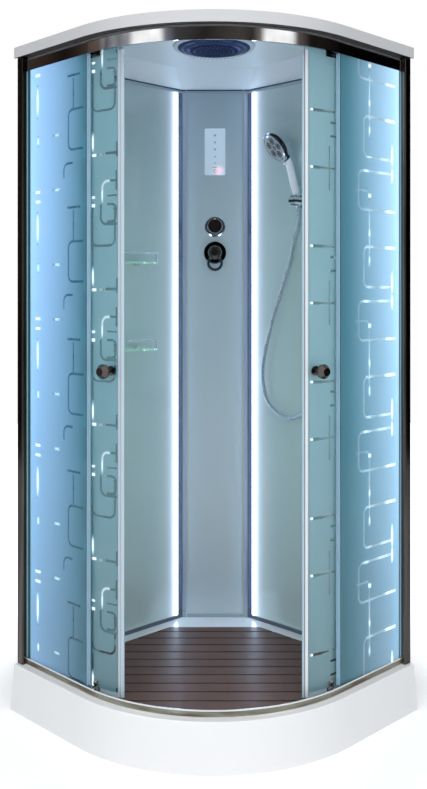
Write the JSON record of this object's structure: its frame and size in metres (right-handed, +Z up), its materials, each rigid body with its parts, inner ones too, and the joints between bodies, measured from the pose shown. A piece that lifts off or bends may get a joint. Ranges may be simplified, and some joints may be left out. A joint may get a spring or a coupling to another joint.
{
  "type": "corner shower cabin",
  "caption": "Quadrant corner shower cabin with curved sliding doors, low tray with slatted deck, glass back walls, overhead shower, mixer, handset and shelves.",
  "frame": {"origin": "on the floor, under the middle of the 0.9 m square that the cabin fills", "axes": "+Z up; the two walls of the room lie at -X and at +Y; the round front and the doorway face +X -Y"},
  "size_m": [0.9, 0.9, 2.15],
  "materials": {
    "white_acrylic": "gloss",
    "steel_tube": "satin",
    "zinc_steel": "satin",
    "stainless": "brushed",
    "grey_plastic": "matte",
    "deck_wood": "satin",
    "dark_plastic": "gloss",
    "black_rubber": "matte",
    "wall_glass": "gloss",
    "door_glass": "gloss",
    "chrome": "polished",
    "aluminium": "polished",
    "panel_grey": "satin",
    "light_strip": "frosted",
    "clear_seal": "translucent",
    "brass": "satin"
  },
  "bodies": {
    "cabin": {"shower_tray": "white_acrylic", "front_apron": "white_acrylic", "tray_frame": "steel_tube", "levelling_feet": "zinc_steel", "drain_grate": "stainless", "drain_trap": "grey_plastic", "deck_slats": "deck_wood", "deck_bearers": "grey_plastic", "right_wall_panel": "wall_glass", "left_wall_panel": "wall_glass", "corner_panel": "panel_grey", "wall_trims": "aluminium", "wall_light_strips": "light_strip", "wall_posts": "chrome", "pane_seals": "clear_seal", "top_rail": "chrome", "bottom_rail": "chrome", "fixed_pane_right": "door_glass", "fixed_pane_left": "door_glass", "roof_shell": "white_acrylic", "overhead_bezel": "white_acrylic", "overhead_rose": "dark_plastic", "overhead_housing": "white_acrylic", "control_panel": "dark_plastic", "control_roses": "chrome", "mixer_valve": "brass", "feed_pipes": "stainless", "power_unit": "grey_plastic", "handset_wall_base": "chrome", "outlet_elbow": "chrome", "hose_nut_lower": "chrome", "shower_hose": "stainless", "shelf_glasses": "door_glass", "shelf_fittings": "chrome"},
    "door_right": {"door_glass_right": "door_glass", "door_edge_profile_right": "aluminium", "door_seals_right": "clear_seal", "door_knob_right": "chrome", "door_hangers_right": "chrome"},
    "top_wheel_lead_right": {"top_wheel_lead_right": "grey_plastic"},
    "low_wheel_lead_right": {"low_wheel_lead_right": "grey_plastic"},
    "top_wheel_tail_right": {"top_wheel_tail_right": "grey_plastic"},
    "low_wheel_tail_right": {"low_wheel_tail_right": "grey_plastic"},
    "door_left": {"door_glass_left": "door_glass", "door_edge_profile_left": "aluminium", "door_seals_left": "clear_seal", "door_knob_left": "chrome", "door_hangers_left": "chrome"},
    "top_wheel_lead_left": {"top_wheel_lead_left": "grey_plastic"},
    "low_wheel_lead_left": {"low_wheel_lead_left": "grey_plastic"},
    "top_wheel_tail_left": {"top_wheel_tail_left": "grey_plastic"},
    "low_wheel_tail_left": {"low_wheel_tail_left": "grey_plastic"},
    "diverter": {"diverter_knob": "chrome"},
    "mixer_stem": {"mixer_spindle": "chrome"},
    "mixer_handle": {"mixer_lever": "chrome"},
    "cradle": {"handset_cradle": "chrome"},
    "handset": {"handset_body": "white_acrylic", "hose_nut_upper": "chrome", "spray_face": "grey_plastic"},
    "selector": {"spray_selector": "chrome"}
  },
  "joints": [
    {"name": "door_right_slide", "type": "hinge", "parent": "cabin", "child": "door_right", "pos_m": [-0.2258, 0.1391, 1.086], "axis": [0, 0, 1], "range_deg": [-25.4, 0]},
    {"name": "top_wheel_lead_right_roll", "type": "hinge", "parent": "door_right", "child": "top_wheel_lead_right", "pos_m": [0.374, 0.09511, 2.0273], "axis": [0.9912, -0.1323, 0], "range_deg": [0, 1880]},
    {"name": "low_wheel_lead_right_roll", "type": "hinge", "parent": "door_right", "child": "low_wheel_lead_right", "pos_m": [0.38941, 0.09305, 0.1508], "axis": [0.9912, -0.1323, 0], "range_deg": [0, 1880]},
    {"name": "top_wheel_tail_right_roll", "type": "hinge", "parent": "door_right", "child": "top_wheel_tail_right", "pos_m": [0.36882, 0.25134, 2.0273], "axis": [0.9803, 0.1977, 0], "range_deg": [0, 1880]},
    {"name": "low_wheel_tail_right_roll", "type": "hinge", "parent": "door_right", "child": "low_wheel_tail_right", "pos_m": [0.38406, 0.25441, 0.1508], "axis": [0.9803, 0.1977, 0], "range_deg": [0, 1880]},
    {"name": "door_left_slide", "type": "hinge", "parent": "cabin", "child": "door_left", "pos_m": [-0.1391, 0.2258, 1.086], "axis": [0, 0, 1], "range_deg": [0, 25.4]},
    {"name": "top_wheel_lead_left_roll", "type": "hinge", "parent": "door_left", "child": "top_wheel_lead_left", "pos_m": [-0.09511, -0.374, 2.0273], "axis": [0.1323, -0.9912, 0], "range_deg": [-1880, 0]},
    {"name": "low_wheel_lead_left_roll", "type": "hinge", "parent": "door_left", "child": "low_wheel_lead_left", "pos_m": [-0.09305, -0.38941, 0.1508], "axis": [0.1323, -0.9912, 0], "range_deg": [-1880, 0]},
    {"name": "top_wheel_tail_left_roll", "type": "hinge", "parent": "door_left", "child": "top_wheel_tail_left", "pos_m": [-0.25134, -0.36882, 2.0273], "axis": [-0.1977, -0.9803, 0], "range_deg": [-1880, 0]},
    {"name": "low_wheel_tail_left_roll", "type": "hinge", "parent": "door_left", "child": "low_wheel_tail_left", "pos_m": [-0.25441, -0.38406, 0.1508], "axis": [-0.1977, -0.9803, 0], "range_deg": [-1880, 0]},
    {"name": "diverter_turn", "type": "hinge", "parent": "cabin", "child": "diverter", "pos_m": [-0.33722, 0.33722, 1.5474], "axis": [0.7071, -0.7071, 0], "range_deg": [-60, 60]},
    {"name": "mixer_turn", "type": "hinge", "parent": "cabin", "child": "mixer_stem", "pos_m": [-0.33722, 0.33722, 1.4514], "axis": [0.7071, -0.7071, 0], "range_deg": [-45, 45]},
    {"name": "mixer_lift", "type": "hinge", "parent": "mixer_stem", "child": "mixer_handle", "pos_m": [-0.32923, 0.32923, 1.4514], "axis": [-0.7071, -0.7071, 0], "range_deg": [0, 20]},
    {"name": "cradle_tilt", "type": "hinge", "parent": "cabin", "child": "cradle", "pos_m": [-0.003, 0.405, 1.621], "axis": [0, 1, 0], "range_deg": [-40, 60], "deforming": ["shower_hose"]},
    {"name": "handset_lift", "type": "slide", "parent": "cradle", "child": "handset", "axis": [-0.1298, -0.1036, 0.9861], "range_m": [0, 0.07], "deforming": ["shower_hose"]},
    {"name": "spray_turn", "type": "hinge", "parent": "handset", "child": "selector", "pos_m": [-0.04379, 0.33641, 1.8011], "axis": [-0.2217, -0.7998, -0.5578], "range_deg": [-35, 35]}
  ],
  "couplings": [
    {"joint": "top_wheel_lead_right_roll", "follows": "door_right_slide", "ratio": -66.824},
    {"joint": "low_wheel_lead_right_roll", "follows": "door_right_slide", "ratio": -72.581},
    {"joint": "top_wheel_tail_right_roll", "follows": "door_right_slide", "ratio": -67.235},
    {"joint": "low_wheel_tail_right_roll", "follows": "door_right_slide", "ratio": -73.02},
    {"joint": "top_wheel_lead_left_roll", "follows": "door_left_slide", "ratio": -66.824},
    {"joint": "low_wheel_lead_left_roll", "follows": "door_left_slide", "ratio": -72.581},
    {"joint": "top_wheel_tail_left_roll", "follows": "door_left_slide", "ratio": -67.235},
    {"joint": "low_wheel_tail_left_roll", "follows": "door_left_slide", "ratio": -73.02}
  ]
}
